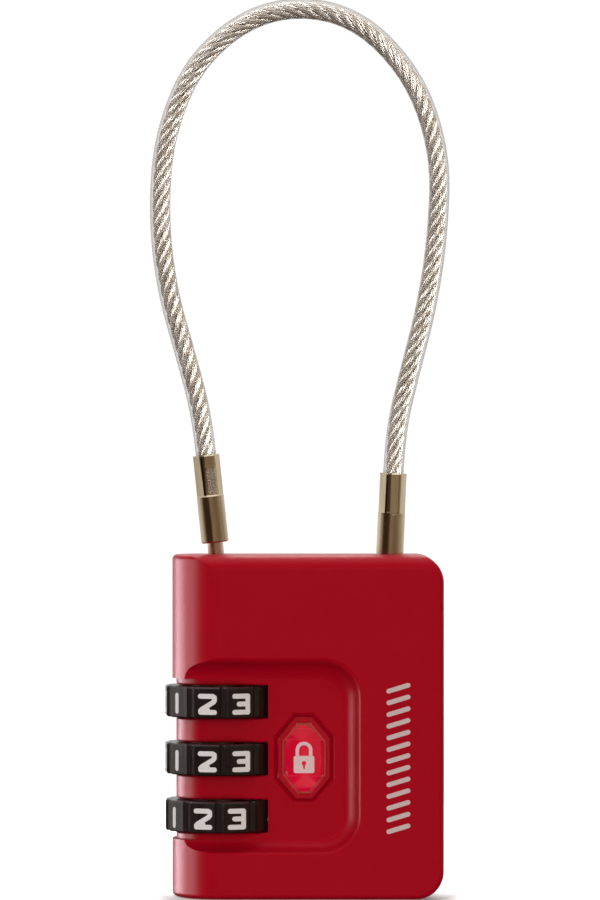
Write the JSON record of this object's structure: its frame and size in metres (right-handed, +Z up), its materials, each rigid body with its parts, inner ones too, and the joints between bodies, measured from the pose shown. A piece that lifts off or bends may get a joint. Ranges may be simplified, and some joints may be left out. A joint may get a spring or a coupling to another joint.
{
  "type": "cable luggage lock",
  "caption": "Number-dial padlock with a flexible steel cable shackle in a clear sleeve, one end pulling out of the housing, and a master key cylinder.",
  "frame": {"origin": "centre of the housing's flat base, midway between its left and right sides and between its front and back faces", "axes": "+Z up from the base towards the cable loop, +X to the right as seen from the front, -Y out of the front face that carries the badge"},
  "size_m": [0.035, 0.0132, 0.105],
  "materials": {
    "red_paint": "satin",
    "badge_enamel": "gloss",
    "badge_line": "satin",
    "dial_plastic": "satin",
    "number_paint": "matte",
    "print_silver": "satin",
    "zinc": "satin",
    "plated_steel": "satin",
    "spring_steel": "satin",
    "ferrule_metal": "satin",
    "steel_wire": "gloss",
    "clear_jacket": "gloss",
    "key_brass": "satin"
  },
  "bodies": {
    "housing": {"front_shell": "red_paint", "rear_shell": "red_paint", "housing_rivets": "red_paint", "badge_plate": "badge_enamel", "key_cylinder": "key_brass", "detent_spring": "spring_steel", "latch_spring": "spring_steel", "reset_spring": "spring_steel", "fixed_ferrule": "ferrule_metal", "anchor_clip": "spring_steel", "wire_rope": "steel_wire", "cable_jacket": "clear_jacket"},
    "free_end": {"locking_stud": "ferrule_metal", "free_ferrule": "ferrule_metal"},
    "dial_top": {"number_dial_top": "dial_plastic", "clutch_sleeve_top": "zinc"},
    "dial_middle": {"number_dial_middle": "dial_plastic", "clutch_sleeve_middle": "zinc"},
    "dial_bottom": {"number_dial_bottom": "dial_plastic", "clutch_sleeve_bottom": "zinc"},
    "spindle_unit": {"spindle": "zinc", "latch_finger": "plated_steel", "spindle_clip": "spring_steel"},
    "latch": {"latch_plate": "plated_steel"},
    "key_barrel": {"key_plug": "key_brass", "key_wafers": "key_brass", "key_crank": "zinc", "crank_screw": "plated_steel"},
    "reset": {"reset_button": "plated_steel"}
  },
  "joints": [
    {"name": "free_end_pull", "type": "slide", "parent": "housing", "child": "free_end", "axis": [0, 0, 1], "range_m": [-0.001, 0.012], "stiffness_N_per_m": 30, "deforming": ["wire_rope", "cable_jacket"]},
    {"name": "dial_top_turn", "type": "hinge", "parent": "housing", "child": "dial_top", "pos_m": [-0.0102, 0, 0.02287], "axis": [0, 0, 1], "continuous": true},
    {"name": "dial_middle_turn", "type": "hinge", "parent": "housing", "child": "dial_middle", "pos_m": [-0.0102, 0, 0.01621], "axis": [0, 0, 1], "continuous": true},
    {"name": "dial_bottom_turn", "type": "hinge", "parent": "housing", "child": "dial_bottom", "pos_m": [-0.0102, 0, 0.00955], "axis": [0, 0, 1], "continuous": true},
    {"name": "spindle_slide", "type": "slide", "parent": "housing", "child": "spindle_unit", "axis": [0, 0, -1], "range_m": [0, 0.002], "stiffness_N_per_m": 60, "springref_m": 0.002},
    {"name": "latch_slide", "type": "slide", "parent": "housing", "child": "latch", "axis": [-1, 0, 0], "range_m": [0, 0.001]},
    {"name": "key_turn", "type": "hinge", "parent": "housing", "child": "key_barrel", "pos_m": [0.00945, 0, 0.008], "axis": [0, 0, 1], "range_deg": [-90, 0]},
    {"name": "reset_press", "type": "slide", "parent": "housing", "child": "reset", "axis": [0, 0, 1], "range_m": [0, 0.001], "stiffness_N_per_m": 150, "deforming": ["reset_spring"]}
  ],
  "couplings": [
    {"joint": "latch_slide", "follows": "spindle_slide", "ratio": 0.5}
  ]
}
